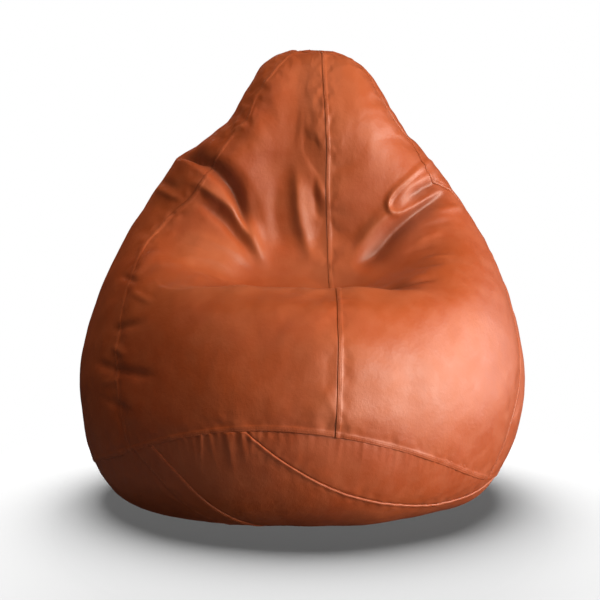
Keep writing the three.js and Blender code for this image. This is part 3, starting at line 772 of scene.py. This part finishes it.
def make_base():
    """The base as one surface, cut along its seams and the zip's slot, then raised and parted in panels."""
    azimuth, t, from_ring = base_grid()
    p, n = shape_point(azimuth, t), shape_normal(azimuth, t)
    n[:3] = (0, 0, -1)
    turn = np.radians(azimuth)
    piece = mesh_object(
        "base", p, grid_faces(*t.shape, closed=True), turn_sin=np.sin(turn), turn_cos=np.cos(turn),
        from_ring=from_ring, nx=n[..., 0], ny=n[..., 1], nz=n[..., 2])
    b = bmesh.new()
    b.from_mesh(piece.data)
    bmesh.ops.remove_doubles(b, verts=b.verts, dist=1e-6)

    def cut(normal, distance):
        normal = Vector(normal)
        bmesh.ops.bisect_plane(b, geom=b.verts[:] + b.edges[:] + b.faces[:], dist=1e-6,
                               plane_co=normal * distance, plane_no=normal)

    for d in ZIP_CUTS:
        cut(ZIP_PLANE[0], ZIP_PLANE[1] + d)
    for d in LENS_CUTS:
        cut(LENS_PLANE[0], LENS_PLANE[1] + d)
    for end in (-PLACKET_FRONT, PLACKET_REAR):
        for d in (end - .001, end, end + .001):
            cut(ZIP_WAY, d)
    for d in (-SLOT_HALF_LENGTH, SLOT_HALF_LENGTH):
        cut(ZIP_WAY, d)
    for d in (-SLOT_HALF_WIDTH, SLOT_HALF_WIDTH):
        cut(ZIP_SIDE, d)
    middles = np.array([f.calc_center_median() for f in b.faces])
    inside = ((abs(middles @ ZIP_WAY) < SLOT_HALF_LENGTH) & (middles[:, 2] < .02)
              & (abs(middles @ ZIP_SIDE) < SLOT_HALF_WIDTH))
    b.faces.ensure_lookup_table()
    bmesh.ops.delete(b, geom=[b.faces[i] for i in np.flatnonzero(inside)], context="FACES")
    b.to_mesh(piece.data)
    b.free()

    def layer(name):
        values = np.empty(len(piece.data.vertices), np.float32)
        piece.data.attributes[name].data.foreach_get("value", values)
        return values.astype(float)

    p = np.empty(len(piece.data.vertices) * 3, np.float32)
    piece.data.vertices.foreach_get("co", p)
    p = p.reshape(-1, 3).astype(float)
    n = unit(np.stack([layer("n" + c) for c in "xyz"], -1))
    azimuth = np.degrees(np.arctan2(layer("turn_sin"), layer("turn_cos")))
    # flat on the floor: what would go below it is pressed up to it
    moved = p + n * base_height(p, azimuth, layer("from_ring"))[:, None]
    moved[:, 2] = np.maximum(moved[:, 2], 0)
    # and quite flat round the zip's slot, over the folded edges inside it
    slot = smoothstep(SLOT_HALF_LENGTH + .04 - abs(p @ ZIP_WAY), 0, .02)
    slot *= smoothstep(.05 - abs(p @ ZIP_SIDE), 0, .02) * (moved[:, 2] < .004)
    moved[:, 2] *= 1 - slot
    faces = [list(f.vertices) for f in piece.data.polygons]
    middle = np.array([p[f].mean(0) for f in faces])
    m_zip, m_lens, m_way = beyond(middle, ZIP_PLANE), beyond(middle, LENS_PLANE), middle @ ZIP_WAY
    placket = (m_zip > 0) & (m_zip < PLACKET_WIDTH) & (m_way > -PLACKET_FRONT) & (m_way < PLACKET_REAR)
    lens = (m_zip > 0) & (m_lens > 0) & ~placket
    groups = {"base_half_left": m_zip < 0, "zip_placket": placket, "base_lens_right": lens,
              "base_half_right": (m_zip > 0) & ~placket & ~lens}
    bpy.data.objects.remove(piece)
    for name, chosen in groups.items():
        used = [faces[i] for i in np.flatnonzero(chosen)]
        index = sorted({v for f in used for v in f})
        new = {v: i for i, v in enumerate(index)}
        flat = np.zeros(len(index))
        part = mesh_object(name + "_cover", moved[index], [[new[v] for v in f] for f in used],
                           wear=flat, crease=flat)
        finish_piece(part, LEATHER, name, COVER)


make_base()


# ---- stitches
def base_seam_line(plane, distance, low, high, reach=(-1, 1)):
    """The line on the base at a distance from a seam's plane, between two azimuths, and its normals. reach
    limits it along the zip."""
    points, normals = [], []
    for azimuth in np.linspace(low, high, int((high - low) * 3)):
        t = np.linspace(FLAT_STATION, ring_station(azimuth), 120)
        d = beyond(shape_point(azimuth + 0 * t, t), plane) - distance
        for k in np.flatnonzero(d[:-1] * d[1:] < 0)[:1]:
            at = np.array([t[k] + (t[k + 1] - t[k]) * d[k] / (d[k] - d[k + 1])])
            here = np.array([azimuth])
            q, n = shape_point(here, at), shape_normal(here, at)
            if reach[0] < (q @ ZIP_WAY)[0] < reach[1]:
                from_ring = (ring_station(here) - at) * 1.33
                raised = (q + n * base_height(q, here, from_ring)[:, None])[0]
                points.append((*raised[:2], max(raised[2], 0)))
                normals.append(n[0])
    return np.array(points), np.array(normals)


def flat_line(along0, along1, across0, across1):
    """A straight line on the underside, by its ends' places along and across the zip, and its normals."""
    k = np.linspace(0, 1, 60)[:, None]
    points = ZIP_WAY * (along0 + (along1 - along0) * k) + ZIP_SIDE * (across0 + (across1 - across0) * k)
    return points + (0, 0, .0002), np.tile((0., 0., -1.), (60, 1))


SLOT_ROW, SLOT_ROW_END = SLOT_HALF_WIDTH + .0035, SLOT_HALF_LENGTH + .004
STITCH_LINES["stitches_lens"] = [base_seam_line(LENS_PLANE, -2.6 * MM, 0, 70)]
STITCH_LINES["stitches_placket"] = [
    base_seam_line(ZIP_PLANE, d * MM, -78, 20, (-PLACKET_FRONT + .004, 1)) for d in (5, 41)]
STITCH_LINES["stitches_zip_slot"] = [
    *(flat_line(-SLOT_ROW_END, SLOT_ROW_END, side * SLOT_ROW, side * SLOT_ROW) for side in (-1, 1)),
    *(flat_line(end * SLOT_ROW_END, end * SLOT_ROW_END, -SLOT_ROW, SLOT_ROW) for end in (-1, 1))]
STITCH_PITCH, STITCH_LENGTH, STITCH_RADIUS, STITCH_SIDES = .005, .0041, .00036, 6
# each stitch is a tube through five rings: their places along it, widths and heights over the fabric
STITCH_PLACES = np.array([0, .12, .5, .88, 1])
STITCH_WIDTHS = np.array([.3, 1, 1, 1, .3]) * STITCH_RADIUS
STITCH_RISE = np.array([-.0003, .00005, .00018, .00005, -.0003])


def make_stitches(name, lines):
    """Rows of thread stitches along lines on the cover, each stitch arched over its groove."""
    turn = np.linspace(0, 2 * pi, STITCH_SIDES + 1)[:-1]
    rings = len(STITCH_PLACES)
    first, last = range(STITCH_SIDES), range((rings - 1) * STITCH_SIDES, rings * STITCH_SIDES)
    tube = grid_faces(rings, STITCH_SIDES, closed=True) + [first[::-1], last]
    vertices, faces, start = [], [], 0
    for points, normals in lines:
        if len(points) < 4:
            continue
        run = run_of(points)
        count = int(run[-1] / STITCH_PITCH)
        at = (np.arange(count)[:, None] * STITCH_PITCH + STITCH_PLACES[None] * STITCH_LENGTH + .0004).ravel()

        def sample(values):
            return np.stack([np.interp(at, run, values[:, i]) for i in range(3)], -1)

        centre, n = sample(points), sample(normals)
        side = unit(np.cross(sample(np.gradient(points, run, axis=0)), n))
        size, rise = np.tile(STITCH_WIDTHS, count)[:, None, None], np.tile(STITCH_RISE, count)[:, None]
        ring = (centre + n * rise)[:, None] + size * (
            side[:, None] * np.cos(turn)[None, :, None] + n[:, None] * np.sin(turn)[None, :, None])
        vertices.append(ring.reshape(-1, 3))
        for _ in range(count):
            faces += [[start + v for v in face] for face in tube]
            start += rings * STITCH_SIDES
    piece = mesh_object(name, np.concatenate(vertices), faces)
    finish_piece(piece, THREAD)


for name, lines in STITCH_LINES.items():
    make_stitches(name, lines)

# ---- inside: the liner and the beads
POCKET_LENGTH, POCKET_WIDTH, POCKET_LIFT = .226, .024, .012


def inner_skin(name, depth, floor_depth):
    """A closed skin at a depth inside the cover, with a pocket over the zip."""
    columns, rows = 180, 150
    azimuth, t = np.meshgrid(np.linspace(0, 360, columns + 1)[:-1], np.linspace(0, 1, rows))
    p, n = shape_point(azimuth, t), shape_normal(azimuth, t)
    n[0], n[-1] = (0, 0, -1), (0, 0, 1)
    low = fold_height(p)
    for _ in range(3):
        low = np.minimum.reduce([low, np.roll(low, 1, 1), np.roll(low, -1, 1),
                                 np.vstack([low[1:], low[-1:]]), np.vstack([low[:1], low[:-1]])])
    low = np.minimum(low, 0)
    deep = floor_depth + (depth - floor_depth) * smoothstep(p[..., 2], .008, .05)
    p = p + n * (low - deep)[..., None]
    lift = (smoothstep(POCKET_LENGTH + .012 - abs(p @ ZIP_WAY), 0, .012)
            * smoothstep(POCKET_WIDTH + .014 - abs(p @ ZIP_SIDE), 0, .014))
    z = p[..., 2]
    p[..., 2] = np.where(z < .06, np.maximum(z, floor_depth + POCKET_LIFT * lift), z)
    p[0], p[-1] = p[0].mean(0), p[-1].mean(0)
    piece = mesh_object(name, p, grid_faces(rows, columns, closed=True))
    merge(piece)
    return piece


liner = inner_skin("inner_liner_cloth", .0085, .0065)
finish_piece(liner, LINER, "inner_liner", .0006)
fill = inner_skin("bead_fill_granules", .0115, .0095)
finish_piece(fill, BEADS, "bead_fill")

# ---- the CAD's own pieces, with finished materials
ZIP_PIECES = []
for name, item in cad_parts.items():
    if not name.startswith(("zip_", "liner_zip_")) or name == "zip_placket":
        continue
    kind = "tape" if "tape" in name else "coil" if "coil" in name else "metal"
    key = ("liner_" if name.startswith("liner_zip") else "zip_") + kind
    material = ZIP_MATERIALS["leatherette_fold" if "facing" in name else key]
    if not item.material_slots:
        item.data.materials.append(material)
    for slot in item.material_slots:
        slot.material = material
    ZIP_PIECES.append(item)

# ---- the stage
FLOOR_RADIUS, FLOOR_SIDES, FLOOR_LEVEL = 6, 64, -.0006


def make_floor():
    """A pale disc just under the bag. It fades out into the white backdrop, and isn't there from below, so
    that the zip on the underside can be seen."""
    turn = np.linspace(0, 2 * pi, FLOOR_SIDES + 1)[:-1]
    ring = [(FLOOR_RADIUS * cos(a), FLOOR_RADIUS * sin(a), FLOOR_LEVEL) for a in turn]
    floor = mesh_object("floor", ring, [list(range(FLOOR_SIDES))])
    material = bpy.data.materials.new("floor_pale")
    tree, shader = nodes_of(material)
    out = shader.outputs[0].links[0].to_node
    path = node(tree, "LightPath").outputs
    unseen = mix_colour(tree, path["Is Glossy Ray"], (.25, .25, .25, 1), (.03, .03, .03, 1))
    colour = mix_colour(tree, path["Is Camera Ray"], unseen, (.9, .9, .9, 1))
    feed(tree, shader, {"Base Color": colour, "Roughness": .9, "Specular IOR Level": .1})
    where = node(tree, "TexCoord").outputs["Object"]
    placed = node(tree, "Mapping", {0: where, 1: (0, .22, 0), 3: (1 / .62, 1 / .95, 1)}).outputs[0]
    far = node(tree, "VectorMath", {0: placed}, operation="LENGTH").outputs["Value"]
    below = node(tree, "NewGeometry").outputs["Backfacing"]
    gone = node(tree, "Math", {0: ramp(tree, far, .72, 1.2), 1: below}, operation="MAXIMUM").outputs[0]
    clear = node(tree, "BsdfTransparent").outputs[0]
    fade = node(tree, "MixShader", {0: gone, 1: shader.outputs[0], 2: clear}).outputs[0]
    tree.links.new(fade, out.inputs[0])
    floor.data.materials.append(material)


def make_backdrop():
    """A world that looks white and gives only a little light."""
    world = bpy.data.worlds.new("studio")
    scene.world = world
    world.use_nodes = True
    tree = world.node_tree
    tree.nodes.clear()
    seen = node(tree, "Background", {"Color": (1, 1, 1, 1), "Strength": 1}).outputs[0]
    cast = node(tree, "Background", {"Color": (1, .98, .95, 1), "Strength": .02}).outputs[0]
    which = node(tree, "LightPath").outputs["Is Camera Ray"]
    mixed = node(tree, "MixShader", {0: which, 1: cast, 2: seen}).outputs[0]
    node(tree, "OutputWorld", {0: mixed})


def aimed(name, data, place, target):
    """A lamp or a camera at a place, turned towards its target."""
    item = bpy.data.objects.new(name, data)
    item.location = place
    item.rotation_euler = (Vector(target) - item.location).to_track_quat("-Z", "Y").to_euler()
    scene.collection.objects.link(item)
    return item


def soft_lamp(name, azimuth, elevation, size, power, glossy=True, diffuse=True, target=(0, 0, .35),
              distance=3.2, on_floor=False, through_floor=False, only=None):
    """A soft round lamp, placed by its direction from the bag: azimuth 0 is in front and 90 at +X. It gives
    diffuse light, sheen, or both. It lights either the floor or all the rest, or only the pieces given, so
    that the floor stays pale round the bag's soft shadow. A lamp through the floor isn't blocked by it."""
    light = bpy.data.lights.new(name, "AREA")
    light.shape, light.size, light.energy = "DISK", size, power
    a, e = radians(azimuth), radians(elevation)
    way = Vector((sin(a) * cos(e), -cos(a) * cos(e), sin(e)))
    lamp = aimed(name, light, Vector(target) + way * distance, target)
    lamp.visible_glossy, lamp.visible_diffuse = glossy, diffuse
    links = lamp.light_linking
    lit = links.receiver_collection = bpy.data.collections.new(name + "_lights")
    lit.objects.link(bpy.data.objects["floor"])
    lit.collection_objects[0].light_linking.link_state = "INCLUDE" if on_floor else "EXCLUDE"
    if through_floor:
        links.blocker_collection = lit
    if only:
        links.receiver_collection = bpy.data.collections.new(name + "_only")
        for item in only:
            links.receiver_collection.objects.link(item)


make_floor()
make_backdrop()
camera = bpy.data.cameras.new("camera")
camera.lens, camera.sensor_width = 124.35, 36
scene.camera = aimed("camera", camera, (0, -3.955, .9175), (-.004, .015, .376))
soft_lamp("key", 60, 8, 1.5, 75)
soft_lamp("side", 98, 7, 1.7, 50, diffuse=False)
soft_lamp("front", 30, 4, 1.5, 10)
soft_lamp("low", 75, -22, 1.5, 10, glossy=False, through_floor=True)
soft_lamp("high", 48, 38, 1.3, 22, glossy=False)
soft_lamp("top", 10, 75, 1.3, 22, glossy=False)
soft_lamp("left", -52, 52, 1.5, 13, glossy=False)
soft_lamp("back", 195, 30, 1.7, 38, glossy=False)
soft_lamp("back_sheen", 200, 22, 1.7, 45, diffuse=False, only=[
    bpy.data.objects[name + "_cover"] for name in ("gore_back_left", "gore_back_right")])
soft_lamp("under", 170, -62, 1.7, 4, glossy=False, through_floor=True)
soft_lamp("under_zip", 20, -70, 1.2, 12, target=(0, 0, 0), distance=2, through_floor=True,
          only=ZIP_PIECES)
soft_lamp("overhead", 178, 84, 2, 60, target=(0, .3, 0), distance=1.6, on_floor=True)
soft_lamp("floor_front", 0, 28, 2.4, 5, target=(0, -.3, 0), distance=3, on_floor=True)
scene.view_settings.view_transform = "Standard"
